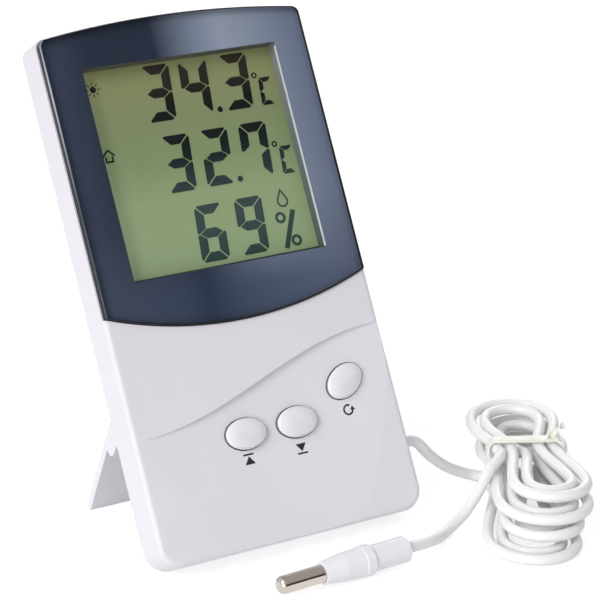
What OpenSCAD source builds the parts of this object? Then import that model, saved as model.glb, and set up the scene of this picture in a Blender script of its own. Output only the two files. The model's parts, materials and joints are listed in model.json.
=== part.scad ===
// Digital thermo-hygrometer on its fold-out stand, with an outdoor probe on a lead tied in a hank.
// The case is drawn in its own frame: x across, y up its face, z out of its face. stood() leans it back.

/* [Case] */
// Width of the case
case_w = 59; // [58.6:0.2:64]
// Height of the case at the crown of its arched head
case_h = 108; // [107.6:0.2:114]
// Depth of the side walls
side_d = 9.2; // [9:0.1:9.6]
// Rise of the arched head over its two corners
arch_rise = 2.1; // [1.2:0.1:4]
// Radius of the two lower corners
foot_r = 4.5; // [3:0.5:6]
// Radius of the two upper corners
head_r = 2; // [1.5:0.1:3]
// Radius of the front edges
front_r = 1; // [0.6:0.1:1.2]
// Radius of the rear edges
rear_r = 1.3; // [0.8:0.1:1.3]
// Wall of the case sides
wall = 1.8; // [1.6:0.1:2]
// Wall of the case front
front_wall = 2; // [1.8:0.1:2.1]
// Thickness of the back plate
back_wall = 1.4; // [1.3:0.1:1.5]

/* [Keypad step] */
// Height of the middle of the curved step above the foot
step_y = 32; // [31:0.5:33]
// Half the rise of the step from the left side to the right
step_swing = 6.6; // [3:0.2:7]
// Depth of the dished keypad under the step
dish_d = 0.9; // [0.3:0.1:1]

/* [Display] */
// Thickness of the display lens
lens_t = 1.2; // [0.8:0.1:1.6]
// How far the lens stands proud of the case front
lens_proud = 0.6; // [0.3:0.1:0.7]
// Height of the lowest point of the lens
lens_low = 44.5; // [44:0.1:45]
// Radius of the curved lower edge of the lens
lens_arc_r = 84; // [75:1:120]
// Thickness of the printed mask film behind the lens
film_t = 0.15; // [0.1:0.05:0.2]
// Width of the front on each side of the display window
window_side = 7.8; // [7.8:0.1:9.5]
// Height of the front above the display window
window_head = 8.9; // [8.7:0.1:12]
// Height of the lower edge of the window
window_y = 55.7; // [55.5:0.1:56]
// How far the window stands right of the middle
window_x = 0.8; // [-0.6:0.1:0.8]
// Depth of the liquid crystal cell behind the case front
cell_z = 3.9; // [3.7:0.1:4]
// Thickness of one glass of the cell
glass_t = 0.9; // [0.7:0.1:0.9]

/* [Keys] */
// Half length of an oval key
key_a = 4.45; // [4:0.05:4.6]
// Half width of an oval key
key_b = 3.1; // [2.8:0.05:3.2]
// Height of the crown of a key over its rim
key_crown = 1.1; // [0.6:0.1:1.4]
// Travel of a key
key_travel = 0.6; // [0.3:0.05:0.65]
// Gap round a key in its hole
key_gap = 0.18; // [0.12:0.02:0.24]

/* [Board] */
// Thickness of the circuit board
board_t = 1.2; // [1:0.1:1.3]
// Depth of the front of the board behind the case front
board_z = 6.35; // [6.3:0.05:6.4]

/* [Battery] */
// Diameter of the cell
battery_d = 10.5; // [10.1:0.1:10.5]
// Spare length of the bay for the spring and the contacts of the cell
battery_room_l = 2.5; // [2.4:0.1:3.5]
// Height of the middle of the battery bay above the foot
bay_y = 42.2; // [42:0.1:42.5]
// Thickness of the battery door
door_t = 1.4; // [1.2:0.1:1.4]

/* [Stand] */
// Lean of the case back from upright
lean = 29.2; // [24:0.2:31]
// Height of the stand's pivot above the foot, along the back
pivot_y = 30.2; // [29.8:0.1:30.4]
// Length of the stand from its pivot to the table
stand_l = 27.4; // [27:0.1:28.6]
// Thickness of the stand's two ears
ear_t = 1.3; // [1.2:0.1:1.8]
// Thickness of the stand's plate
stand_t = 1.6; // [1.2:0.1:1.7]
// Radius of the hinge barrel
barrel_r = 2.2; // [2:0.1:2.3]
// Radius of the stand's two pivot pins
pin_r = 1.1; // [0.8:0.05:1.2]

/* [Screws] */
// Radius of a case screw
screw_r = 1; // [0.8:0.05:1.1]
// Radius of the head of a case screw
screw_head_r = 1.75; // [1.5:0.05:1.85]

/* [Lead] */
// Diameter of the lead
lead_d = 2.3; // [2:0.1:2.4]
// Diameter of the metal probe tip
tip_d = 3.6; // [3:0.1:4.4]
// Length of the metal probe tip out of its sleeve
tip_l = 10; // [8:0.2:14]
// Diameter of the collar of the probe's sleeve
collar_d = 6.2; // [5.6:0.1:7]
// Number of loops in the hank
hank_loops = 8; // [6:2:8]

/* [Hidden] */
$fn = 48;

// Clearances
sliver = 0.01;
snug = 0.05;
run = 0.03;
loose = 0.15;
free = 0.3;

// Case
half_w = case_w / 2;
arch_r = (half_w * half_w + arch_rise * arch_rise) / (2 * arch_rise);
split_z = side_d - back_wall;
lap = 1;
rear_lap_in = 1.75;
rear_lap_out = 1;
table_cut = 0.25;

// Places in the leaned frame, for a point y up the face and z out of it
function stood_y(y, z) = y * sin(lean) - z * cos(lean);
function stood_z(y, z) = y * cos(lean) + z * sin(lean);
table_z = stood_z(rear_r, rear_r - side_d) - rear_r + table_cut;
front_y = stood_y(front_r, -front_r) - front_r;
rear_y = stood_y(case_h - rear_r, rear_r - side_d) + rear_r;
mid_y = (front_y + rear_y) / 2;

// Raised back: the block over the bay is as deep as the cell and its door need
bay_front = front_wall + 0.1;
bay_floor = 0.7;
cell_room = 0.1;
block_top = 51.5;
block_d = bay_front + bay_floor + 2 * cell_room + battery_d + door_t;
hump_w = case_w - 8.6;
hump_low = 5.5;
hump_top = case_h - 10;
hump_d = block_d + 0.5 - barrel_r;
hump_r = 0.8;

// Display
window_w = case_w - 2 * window_side;
window_h = case_h - window_head - window_y;
lens_inset = 0.35;
lens_bevel = 0.35;
lens_gap = 0.12;
seat_z = lens_t - lens_proud + film_t;
cell_margin = 0.8;
cell_ledge = 3;
frame_wall = 0.8;
strip_w = 2;
reflector_t = 0.2;

// Keypad dish: a shallow cylinder laid along the face, tipped so that it fades towards the foot
dish_half = half_w - 1.3;
dish_r = (dish_half * dish_half + dish_d * dish_d) / (2 * dish_d);
dish_tip = 1.4;

// Keys: place and turn of each
max_at = [-5.6, 22.3, 0];
min_at = [6, 22.35, 0];
reset_at = [half_w - 10.9, 28.2, 28];
key_rim_z = -0.15;
key_flange = 1.1;
key_flange_t = 0.8;
key_stem_r = 1.6;
dome_h = 1.4;
dome_foot_r = 3.2;
dome_top_r = 1.8;
mat_t = 0.5;
mat_rim = 2.95;
dome_top_z = -board_z + mat_t + dome_h;
key_stem_z = dome_top_z + key_travel + loose;

// Battery bay
bay_wall = 1.2;
bay_l = case_w - 12;
battery_l = bay_l - battery_room_l;
bay_h = battery_d + 0.7;
battery_z = -(bay_front + bay_floor + cell_room + battery_d / 2);
plate_t = 0.35;
contact_w = 8;
nub_r = 1.9;
nub_l = 1.2;
battery_x = bay_l / 2 - plate_t - snug - battery_l;
door_w = bay_l + 1.2;
door_low = bay_y - bay_h / 2 - 1.5;
door_z = -(block_d - door_t);
door_travel = 15;
tongue = 0.4;
tongue_t = 0.5;

// Screws and bosses
top_screw = [half_w - 4.3, case_h - 5.65];
foot_screw = [half_w - 5.2, 5.4];
boss_r = 2.2;
boss_z = 5.6;
head_depth = 1.6;
screw_head_t = 1.3;
screw_l = 5;
board_screw_x = half_w - 3.8;
board_screw_ys = [20, 58, case_h - 16];
board_boss_r = 1.4;
board_screw_r = 0.7;
board_head_r = 1.3;
board_head_t = 0.7;
board_screw_l = 4.4;

// Stand: it folds down flat on the back, so it is drawn folded and turned about its pivot
pivot_z = -(hump_d - 0.5);
stand_far = barrel_r + 0.1;
stand_near = stand_far - stand_t;
ear_gap = 0.2;
stand_w = hump_w + 2 * (ear_t + ear_gap);
ear_l = 8.4;
ear_tip_r = 1.7;
heel_l = side_d + pivot_z;
stand_rise = stood_z(pivot_y, pivot_z) - table_z;
stand_open = lean + acos(stand_rise / norm([stand_l, stand_near])) - atan(stand_near / stand_l);

// Lead
lead_r = lead_d / 2;
bush_y = 13.6;
bush_z = -4.4;
bush_r = 1.9;
bush_out = 0.8;
lead_exit = [half_w + bush_out, stood_y(bush_y, bush_z) - mid_y, stood_z(bush_y, bush_z) - table_z];

// Probe: it lies on its collar, its axis a little turned
collar_r = collar_d / 2;
sleeve_l = 8.9;
collar_l = 1.8;
barrel_l = 8.5;
sleeve_r = 2.65;
grip_flat = 0.12;
mouth_r = 2.25;
tip_depth = 4;
shank_r = tip_d / 2 - 0.5;
tip_neck = 0.1;
probe_turn = 2.8;
probe_end = [16.05, -43.52, collar_r + 0.02];

// Hank: sizes in its first layer, and how each changes with every layer above
hank_at = [55, -29.5];
hank_step = 2.95;
hank_lift = 2.8;
hank_fold = 3.6;
hank_core = 0.7;
hank_near = [24, -2.6];
hank_far = [14, -0.3];
hank_turn = [34, -4.3];
hank_bow = [0.06, -0.015];
hank_climb = 0.14;
hank_floor = lead_r + 0.1;
waist_lift = 1;
waist_l = 9;

// Points that the lead passes on its way to the hank and from it
droop_r = 4;
way_in = [[35.35, -19.8, 11.1], [37, -19.7, 9.25], [39.3, -19.5, 7.1], [42, -19.2, 5.05],
    [45, -18.9, 3.25], [48, -19.2, 1.9], [50.2, -21.3, 1.6]];
way_out = [[46, -31.6, 10.6], [42.6, -33.2, 9.3], [39, -34.7, 6], [35, -36, 3],
    [30.8, -37.4, 1.5], [26.6, -39.8, 1.5], [22.6, -42.4, 2.6]];

echo(table = table_z, front_y = front_y, rear_y = rear_y, mid_y = mid_y, open = stand_open);
echo(pivot = [0, stood_y(pivot_y, pivot_z) - mid_y, stood_z(pivot_y, pivot_z) - table_z]);
echo(lead_exit = lead_exit);

// The case frame, leaned back on its foot with the table at z = 0
module stood() {
    translate([0, -mid_y, -table_z]) rotate([90 - lean, 0, 0]) children();
}

// Everything above the table
module above_table() {
    translate([0, 0, case_h]) cube([4 * case_w, 4 * case_w, 2 * case_h], center = true);
}

// The case seen from the front, drawn in by inset all round
module outline(inset = 0) {
    hw = half_w - inset;
    low = max(foot_r - inset, 0.4);
    top = max(head_r - inset, 0.4);
    arc = arch_r - inset;
    arc_y = case_h - arch_r;
    corner_x = hw - top;
    corner_y = arc_y + sqrt(pow(arc - top, 2) - corner_x * corner_x);
    touch_x = corner_x * arc / (arc - top);
    translate([-hw, inset + low]) square([2 * hw, corner_y - inset - low]);
    translate([low - hw, inset]) square([2 * (hw - low), low + 1]);
    for (side = [-1, 1]) {
        translate([side * (hw - low), inset + low]) circle(low);
        translate([side * corner_x, corner_y]) circle(top);
    }
    intersection() {
        translate([0, arc_y]) circle(arc, $fn = 360);
        translate([-touch_x, corner_y - 1]) square([2 * touch_x, case_h]);
    }
}

// A slab of the outline from depth a to depth b behind the front
module slab(a, b, inset = 0) {
    translate([0, 0, -b]) linear_extrude(b - a) outline(inset);
}

// A block given by its lower left rear corner and its upper right front corner
module block(low, high) {
    translate(low) cube(high - low);
}

function oval(a, b) = [for (i = [0:39]) [a * cos(9 * i), b * sin(9 * i)]];

// A tube round a list of points: each ring lies square to the path
function unit(v) = v / norm(v);
function along(p, i) = unit(p[min(i + 1, len(p) - 1)] - p[max(i - 1, 0)]);
function across(t) = unit(cross(t, abs(t[2]) > 0.9 ? [1, 0, 0] : [0, 0, 1]));
function ring(p, i, r, sides) = let (t = along(p, i), a = across(t), b = cross(a, t))
    [for (k = [0:sides - 1]) p[i] + r * (cos(360 * (k + 0.5) / sides) * a + sin(360 * (k + 0.5) / sides) * b)];
module tube(path, r, sides) skin([for (i = [0:len(path) - 1]) ring(path, i, r, sides)]);
module skin(rings) {
    n = len(rings);
    sides = len(rings[0]);
    walls = [for (i = [0:n - 2]) for (k = [0:sides - 1]) let (a = i * sides, j = (k + 1) % sides)
        each [[a + k, a + sides + j, a + sides + k], [a + k, a + j, a + sides + j]]];
    caps = [[for (k = [sides - 1:-1:0]) k], [for (k = [0:sides - 1]) (n - 1) * sides + k]];
    polyhedron([for (r = rings) each r], concat(walls, caps));
}

// Curved step between the upper front and the keypad
step_reach = half_w + 2.5;
step_half = half_w - 1;
function step_line() = [for (i = [-16:16]) let (x = step_reach * i / 16)
    [x, step_y + step_swing * sin(90 * max(-1, min(1, x / step_half)))]];
module keypad_dish() {
    intersection() {
        translate([0, 0, -front_wall - 1]) linear_extrude(front_wall + 2)
            polygon(concat(step_line(), [[step_reach, -foot_r], [-step_reach, -foot_r]]));
        translate([0, step_y, dish_r - dish_d]) rotate([90 - dish_tip, 0, 0])
            cylinder(r = dish_r, h = 2 * case_h, center = true, $fn = 360);
    }
}

module lens_region(grow) {
    translate([0, lens_low + lens_arc_r]) circle(lens_arc_r + grow, $fn = 180);
}

module at_key(at) {
    translate([at[0], at[1], 0]) rotate([0, 0, at[2]]) children();
}

module at_corners(spot) {
    for (side = [-1, 1]) translate([side * spot[0], spot[1], 0]) children();
}

// Front shell: face, side walls, window frame, key holes, bosses and the hole for the lead
module front_shell() color("gainsboro") stood() {
    difference() {
        union() {
            difference() {
                hull() {
                    slab(front_r, split_z);
                    for (a = [22.5:22.5:90])
                        slab(front_r * (1 - sin(a)), front_r, front_r * (1 - cos(a)));
                }
                slab(front_wall, split_z + 1, wall);
                slab(split_z - lap, split_z + 1, wall / 2);
                keypad_dish();
                translate([0, 0, -seat_z]) linear_extrude(3) intersection() {
                    lens_region(lens_gap);
                    translate([-case_w, lens_low - 5]) square([2 * case_w, case_h]);
                }
            }
            window_frame();
            at_corners(top_screw) boss(boss_r, boss_z);
            at_corners(foot_screw) boss(boss_r, boss_z);
            for (y = board_screw_ys) at_corners([board_screw_x, y]) boss(board_boss_r, board_z);
        }
        window_hole();
        for (at = [max_at, min_at, reset_at]) at_key(at) translate([0, 0, -2 * front_wall])
            linear_extrude(3 * front_wall) polygon(oval(key_a + key_gap, key_b + key_gap));
        for (spot = [top_screw, foot_screw])
            at_corners(spot) translate([0, 0, -boss_z - 1]) cylinder(r = screw_r + run, h = boss_z + 1 - 1.5);
        for (y = board_screw_ys)
            at_corners([board_screw_x, y]) translate([0, 0, -board_z - 1])
                cylinder(r = board_screw_r + run, h = board_z + 1 - 2.2);
        translate([half_w + 1, bush_y, bush_z]) rotate([0, -90, 0]) cylinder(r = bush_r + snug, h = 5);
    }
}

module boss(r, depth) {
    translate([0, 0, -depth]) cylinder(r = r, h = depth - front_wall + 0.5);
}

module window_hole() {
    block([window_x - window_w / 2, window_y, -2 * cell_z],
        [window_x + window_w / 2, window_y + window_h, cell_z]);
}

// Raised frame behind the window that the display cell rests on
module window_frame() {
    rim = cell_margin;
    block([window_x - window_w / 2 - rim, window_y - rim, -cell_z + snug],
        [window_x + window_w / 2 + rim, window_y + window_h + rim, -front_wall + 0.5]);
}

// Clear lens with a rounded front edge
module display_lens() color("slategray") stood() {
    hull() {
        lens_slab(-lens_t + lens_proud, lens_proud - lens_bevel, 0);
        lens_slab(lens_proud - lens_bevel, lens_proud - 0.3 * lens_bevel, 0.3 * lens_bevel);
        lens_slab(lens_proud - lens_bevel, lens_proud, lens_bevel);
    }
}
module lens_slab(a, b, inset) {
    translate([0, 0, a]) linear_extrude(b - a) intersection() {
        outline(lens_inset + inset);
        lens_region(-inset);
    }
}

// Opaque printed film between the lens and its seat
module mask_film() color("darkslategray") stood() {
    difference() {
        translate([0, 0, -seat_z]) linear_extrude(film_t) intersection() {
            outline(lens_inset);
            lens_region(0);
        }
        window_hole();
    }
}

// Display cell: a front glass with a contact ledge and a shorter rear glass
cell_lo = [window_x - window_w / 2 - cell_margin, window_y - cell_margin];
cell_hi = [window_x + window_w / 2 + cell_margin, window_y + window_h + cell_margin];
cell_back = cell_z + 2 * glass_t;
module lcd_cell() color("darkkhaki") stood() {
    block([cell_lo[0], cell_lo[1] - cell_ledge, -cell_z - glass_t], [cell_hi[0], cell_hi[1], -cell_z]);
    block([cell_lo[0], cell_lo[1], -cell_back], [cell_hi[0], cell_hi[1], -cell_z - glass_t]);
}
module lcd_reflector() color("silver") stood() {
    block([cell_lo[0], cell_lo[1], -cell_back - reflector_t], [cell_hi[0], cell_hi[1], -cell_back]);
}

// Frame that holds the cell, the reflector and the contact strip against the board
module lcd_frame() color("white") stood() {
    lo = [cell_lo[0] - frame_wall, cell_lo[1] - cell_ledge - frame_wall];
    hi = [cell_hi[0] + frame_wall, cell_hi[1] + frame_wall];
    difference() {
        block([lo[0], lo[1], -board_z + snug], [hi[0], hi[1], -cell_z]);
        block([cell_lo[0] - snug, cell_lo[1] - snug, -20], [cell_hi[0] + snug, cell_hi[1] + snug, 0]);
        block([cell_lo[0] - snug, cell_lo[1] - cell_ledge - snug, -20], [cell_hi[0] + snug, cell_hi[1], 0]);
    }
}
module contact_strip() color("dimgray") stood() {
    y = cell_lo[1] - cell_ledge / 2 - snug;
    block([cell_lo[0] + 2, y - strip_w / 2, -board_z], [cell_hi[0] - 2, y + strip_w / 2, -cell_z - glass_t]);
}

// Board notched from the left round the battery bay, and at the right round the bush of the lead
board_hw = half_w - wall - free;
board_low = foot_screw[1] + 3;
board_back = -board_z - board_t;
module circuit_board() color("darkgreen") stood() {
    difference() {
        block([-board_hw, board_low, board_back], [board_hw, hump_top, -board_z]);
        block([-case_w, bay_y - bay_h / 2 - bay_wall - free, -2 * board_z],
            [bay_l / 2 + bay_wall + free, bay_y + bay_h / 2 + bay_wall + free, 0]);
        block([board_hw - 1, bush_y - bush_r - 1.1, -2 * board_z], [half_w, bush_y + bush_r + 1.1, 0]);
        for (y = board_screw_ys) at_corners([board_screw_x, y]) translate([0, 0, -2 * board_z])
            cylinder(r = board_screw_r + loose, h = 2 * board_z);
    }
}
chip_at = [-6, 70];
chip_r = 8.2;
chip_h = 1.4;
sensor_at = [10, case_h - 24];
thermistor_at = [-12, case_h - 20];
module controller_chip() color("black") stood() {
    translate([chip_at[0], chip_at[1], board_back]) rotate([180, 0, 0]) rotate_extrude($fn = 90) intersection() {
        translate([0, -chip_r]) circle(chip_r + chip_h, $fn = 240);
        square([chip_r, chip_h]);
    }
}
module humidity_sensor() color("orange") stood() {
    difference() {
        block([sensor_at[0] - 3, sensor_at[1] - 4.5, board_back - 2.4],
            [sensor_at[0] + 3, sensor_at[1] + 4.5, board_back]);
        for (i = [-1:1]) block([sensor_at[0] - 2, sensor_at[1] + 2.4 * i - 0.6, board_back - 3],
            [sensor_at[0] + 2, sensor_at[1] + 2.4 * i + 0.6, board_back - 1.2]);
    }
}
module air_thermistor() color("saddlebrown") stood() {
    translate([thermistor_at[0], thermistor_at[1], board_back - 1.6]) sphere(r = 1);
    for (side = [-0.4, 0.4]) translate([thermistor_at[0] + side, thermistor_at[1], board_back - 1.6])
        cylinder(r = 0.2, h = 1.6);
}

// Oval key: a domed cap over a flange that stops behind the front, and a stem down to its dome
module key(at) {
    at_key(at) {
        hull() {
            translate([0, 0, -front_wall]) linear_extrude(front_wall + key_rim_z) polygon(oval(key_a, key_b));
            for (a = [30, 60, 84]) translate([0, 0, key_rim_z]) linear_extrude(key_crown * sin(a))
                polygon(oval(key_a - key_b * (1 - cos(a)), key_b * cos(a)));
        }
        translate([0, 0, -front_wall - snug - key_flange_t]) linear_extrude(key_flange_t)
            polygon(oval(key_a + key_flange, key_b + key_flange));
        translate([0, 0, -front_wall - snug - key_flange_t / 2]) linear_extrude(key_flange_t)
            polygon(oval(key_a, key_b));
        translate([0, 0, key_stem_z]) cylinder(r = key_stem_r, h = -front_wall - key_stem_z);
    }
}
module key_max() color("white") stood() key(max_at);
module key_min() color("white") stood() key(min_at);
module key_reset() color("white") stood() key(reset_at);

// Rubber mat on the board with a dome under each key
module key_mat() color("lightgray") stood() {
    block([max_at[0] - key_a - mat_rim, max_at[1] - key_b - mat_rim, -board_z],
        [reset_at[0] + key_a + 1, reset_at[1] + key_b + mat_rim - 1, -board_z + mat_t]);
    for (at = [max_at, min_at, reset_at]) at_key(at) translate([0, 0, -board_z + mat_t - sliver])
        cylinder(r1 = dome_foot_r, r2 = dome_top_r, h = dome_h + sliver);
}

// Rear shell: plate, raised back, battery bay, hinge barrel, screw wells, vents and hanging hole
module rear_shell() color("gainsboro") intersection() {
    above_table();
    stood() difference() {
        union() {
            difference() {
                union() {
                    rear_plate();
                    slab(split_z - lap + loose, split_z + sliver, rear_lap_out);
                    raised_back();
                }
                slab(-1, split_z, rear_lap_in);
                hump_room([hump_low + 1.5, pivot_y - barrel_r - 1], back_wall);
                hump_room([pivot_y - barrel_r - 2, door_low - 0.8], hump_d - 9.6);
                hump_room([block_top + 1, hump_top - 1.5], back_wall);
            }
            block([-bay_l / 2 - bay_wall, bay_y - bay_h / 2 - bay_wall, -block_d + 0.5],
                [bay_l / 2 + bay_wall, bay_y + bay_h / 2 + bay_wall, -bay_front]);
            for (spot = [top_screw, foot_screw])
                at_corners(spot) translate([0, 0, -side_d + 0.4]) cylinder(r = boss_r, h = side_d - boss_z - 0.6);
        }
        battery_room();
        at_hinge() pin_holes();
        for (spot = [top_screw, foot_screw]) at_corners(spot) {
            translate([0, 0, -side_d - 1]) cylinder(r = screw_head_r + loose, h = head_depth + 1);
            translate([0, 0, -side_d - 1]) cylinder(r = screw_r + loose, h = side_d);
        }
        for (y = board_screw_ys) at_corners([board_screw_x, y])
            translate([0, 0, board_back - board_head_t - free])
                cylinder(r = board_head_r + loose, h = board_head_t + 1);
        hanging_hole();
        vents();
        switch_slot();
    }
}

module rear_plate() {
    hull() {
        slab(split_z, side_d - rear_r);
        for (a = [22.5:22.5:90]) slab(side_d - rear_r, side_d - rear_r * (1 - sin(a)), rear_r * (1 - cos(a)));
    }
}

module raised_back() {
    hull() {
        block([-hump_w / 2, hump_low, -hump_d + hump_r], [hump_w / 2, hump_top, -side_d + 0.5]);
        block([hump_r - hump_w / 2, hump_low + hump_r, -hump_d], [hump_w / 2 - hump_r, hump_top - hump_r, -side_d]);
    }
    at_hinge() rotate([0, 90, 0]) cylinder(r = barrel_r, h = hump_w, center = true);
    block([-hump_w / 2, pivot_y, -block_d], [hump_w / 2, block_top, -side_d]);
}

// A hollow in the raised back between two heights, floor thick at its back
module hump_room(span, floor) {
    block([-hump_w / 2 + 1.5, span[0], -hump_d + floor], [hump_w / 2 - 1.5, span[1], -split_z + 1]);
}

module at_hinge() {
    translate([0, pivot_y, pivot_z]) children();
}

module pin_holes() {
    for (side = [-1, 1]) translate([side * (hump_w / 2 - 0.5), 0, 0]) rotate([0, 90, 0])
        cylinder(r = pin_r + snug, h = 3.4, center = true);
}

// Bay for the cell, the seat of the door and the grooves for the door's tongues
module battery_room() {
    block([-bay_l / 2, bay_y - bay_h / 2, -block_d - 1], [bay_l / 2, bay_y + bay_h / 2, -bay_front - bay_floor]);
    block([-door_w / 2 - loose, door_low, -block_d - 1], [door_w / 2 + loose, block_top + 1, door_z + snug]);
    block([-door_w / 2 - tongue - loose, door_low + 0.8, door_z - tongue_t - loose],
        [door_w / 2 + tongue + loose, block_top + 1, door_z + snug]);
}

// Keyhole for a wall screw: a round entry with a narrow slot above it
hang_y = case_h - 18;
hang_r = 2.6;
hang_slot = 1.3;
hang_rise = 4.5;
module hanging_hole() {
    translate([0, hang_y, -hump_d - 1]) cylinder(r = hang_r, h = 4);
    translate([0, hang_y + hang_rise, -hump_d - 1]) cylinder(r = hang_slot, h = 4);
    block([-hang_slot, hang_y, -hump_d - 1], [hang_slot, hang_y + hang_rise, -hump_d + 3]);
}

vent_l = 9;
vent_w = 1;
vent_step = 2.4;
module vents() {
    for (at = [sensor_at, [thermistor_at[0], sensor_at[1]]]) for (i = [-2:2])
        block([at[0] - vent_l / 2, at[1] + vent_step * i - vent_w / 2, -hump_d - 1],
            [at[0] + vent_l / 2, at[1] + vent_step * i + vent_w / 2, -hump_d + 2]);
}

// Slide switch for the temperature unit
switch_at = [0, 72];
switch_travel = 2;
switch_nub = [2, 3];
module switch_slot() {
    block([switch_at[0] - switch_nub[0] / 2 - loose, switch_at[1] - switch_nub[1] / 2 - loose, -hump_d - 1],
        [switch_at[0] + switch_nub[0] / 2 + switch_travel + loose, switch_at[1] + switch_nub[1] / 2 + loose, -hump_d + 2]);
}
module unit_switch() color("dimgray") stood() {
    floor_z = -hump_d + back_wall + snug;
    block([switch_at[0] - 2.6, switch_at[1] - 2.6, floor_z],
        [switch_at[0] + 2.6, switch_at[1] + 2.6, floor_z + 0.8]);
    difference() {
        block([switch_at[0] - switch_nub[0] / 2, switch_at[1] - switch_nub[1] / 2, -hump_d + 0.1],
            [switch_at[0] + switch_nub[0] / 2, switch_at[1] + switch_nub[1] / 2, floor_z + 0.4]);
        for (side = [-0.5, 0.5]) block([switch_at[0] + side - 0.15, switch_at[1] - 2, -hump_d],
            [switch_at[0] + side + 0.15, switch_at[1] + 2, -hump_d + 0.4]);
    }
}

module screw(r, head_r, head_t, length) {
    difference() {
        cylinder(r = head_r, h = head_t);
        for (turn = [0, 90]) rotate([0, 0, turn]) translate([0, 0, head_t * 0.1])
            cube([head_r * 1.3, head_r * 0.28, head_t], center = true);
    }
    translate([0, 0, head_t - sliver]) cylinder(r = r, h = length);
}
module case_screws() color("silver") stood() {
    for (spot = [top_screw, foot_screw]) at_corners(spot) translate([0, 0, -side_d + head_depth - screw_head_t])
        screw(screw_r, screw_head_r, screw_head_t, screw_l);
}
module board_screws() color("silver") stood() {
    for (y = board_screw_ys) at_corners([board_screw_x, y]) translate([0, 0, board_back - board_head_t - run])
        screw(board_screw_r, board_head_r, board_head_t, board_screw_l);
}

// Battery door: a plate whose side tongues slide in the grooves, with grip grooves outside
module battery_door() color("gainsboro") stood() {
    top = block_top - 0.1;
    difference() {
        union() {
            block([-door_w / 2, door_low + loose, -block_d], [door_w / 2, top, door_z]);
            block([-door_w / 2 - tongue, door_low + 1, door_z - tongue_t], [door_w / 2 + tongue, top - 1, door_z]);
        }
        for (i = [0:4]) block([-6, top - 6 + i, -block_d - 1], [6, top - 5.6 + i, -block_d + 0.4]);
    }
}

module battery_cell() color("steelblue") stood() {
    translate([battery_x, bay_y, battery_z]) rotate([0, 90, 0]) {
        cylinder(d = battery_d, h = battery_l - nub_l);
        cylinder(r = nub_r, h = battery_l);
    }
}
module battery_plate() color("silver") stood() {
    translate([bay_l / 2 - plate_t, bay_y - contact_w / 2, battery_z - contact_w / 2])
        cube([plate_t, contact_w, contact_w]);
}

// Conical contact spring on its plate, wound in three turns
spring_wire = 0.4;
spring_turns = 3;
spring_foot_r = 3.9;
spring_top_r = 1.4;
module battery_spring() color("silver") stood() {
    room = battery_x + bay_l / 2 - plate_t - 2 * snug;
    steps = 16 * spring_turns;
    path = [for (i = [0:steps]) let (t = i / steps,
        r = spring_foot_r + (spring_top_r - spring_foot_r) * t, a = 360 * spring_turns * t)
        [-bay_l / 2 + plate_t + spring_wire / 2 + t * (room - spring_wire), bay_y + r * cos(a), battery_z + r * sin(a)]];
    tube(path, spring_wire / 2, 6);
    side = contact_w + 0.4;
    translate([-bay_l / 2, bay_y - side / 2, battery_z - side / 2]) cube([plate_t + snug, side, side]);
}

// Stand: a plate between two ears, each with a pivot pin and a heel that stops it open
module stand() color("gainsboro") intersection() {
    above_table();
    stood() at_hinge() rotate([stand_open, 0, 0]) difference() {
        union() {
            block([-stand_w / 2, -stand_l - 2, -stand_far], [stand_w / 2, -barrel_r - 0.5, -stand_near]);
            for (side = [-1, 1]) translate([side * (stand_w - ear_t) / 2, 0, 0]) rotate([90, 0, 90]) ear();
            for (side = [-1, 1]) translate([side * hump_w / 2, 0, 0]) rotate([0, 90, 0])
                cylinder(r = pin_r, h = 2.4, center = true);
        }
        block([-9, -stand_l - 5, -stand_far - 1], [9, -stand_l + 1.4, -stand_far + 0.5]);
    }
}
module ear() {
    translate([0, 0, -ear_t / 2]) linear_extrude(ear_t) {
        hull() {
            circle(r = stand_far);
            translate([ear_tip_r - ear_l, 0.1]) circle(r = ear_tip_r);
            translate([-ear_l, -stand_far]) square([2, 0.5]);
        }
        hull() {
            circle(r = 1.6);
            rotate(90 - stand_open) translate([-heel_l - 0.6, 0]) circle(r = 0.1);
        }
    }
}

// Small bush where the lead leaves the side wall
module lead_bush() color("white") stood() {
    translate([half_w, bush_y, bush_z]) rotate([0, 90, 0]) {
        cylinder(r1 = bush_r + 0.7, r2 = bush_r, h = bush_out);
        translate([0, 0, -wall - snug]) cylinder(r = bush_r, h = wall + snug + sliver);
        translate([0, 0, -wall - 0.8]) cylinder(r = bush_r + 0.35, h = 0.8 - snug);
    }
}

// Path of the hank: t counts loops from the left of the waist, where the first and the last strand end
function ease(x) = let (t = max(0, min(1, x))) t * t * (3 - 2 * t);
function changed(size, layer) = size[0] + size[1] * layer;
function hank_layer(t, k = 2) = k >= hank_loops ? 0 : ease((t - k) / hank_climb + 0.5) + hank_layer(t, k + 2);
function hank_flat(t, near, far) =
    let (k = 24 * (t - floor(t)), r = hank_fold + hank_step * abs(2 - t % 4), a = 30 * (k % 12 - 3))
    k >= 3 && k < 9 ? [-near - r * sin(a), -r * cos(a)]
    : k >= 15 && k < 21 ? [far + r * sin(a), r * cos(a)]
    : let (c = k < 12 ? near : far, x = c * min(k % 12, 12 - k % 12) / 3, side = k >= 9 && k < 15 ? 1 : -1)
        [k < 12 ? -x : x, side * (r - (hank_fold - hank_core) * (1 + cos(180 * x / c)) / 2)];
function hank_point(t) =
    let (layer = hank_layer(t), flat = hank_flat(t, changed(hank_near, layer), changed(hank_far, layer)),
        u = flat[0], v = flat[1] + changed(hank_bow, layer) * (norm([u, waist_l]) - waist_l),
        a = changed(hank_turn, layer), rise = layer * (u < 0 ? 0.2 : 0.5) * ease(abs(u) / 20))
    [hank_at[0] + u * sin(a) + v * cos(a), hank_at[1] + u * cos(a) - v * sin(a),
        hank_floor + layer * hank_lift + waist_lift * exp(-pow(u / waist_l, 2)) + rise];
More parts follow.
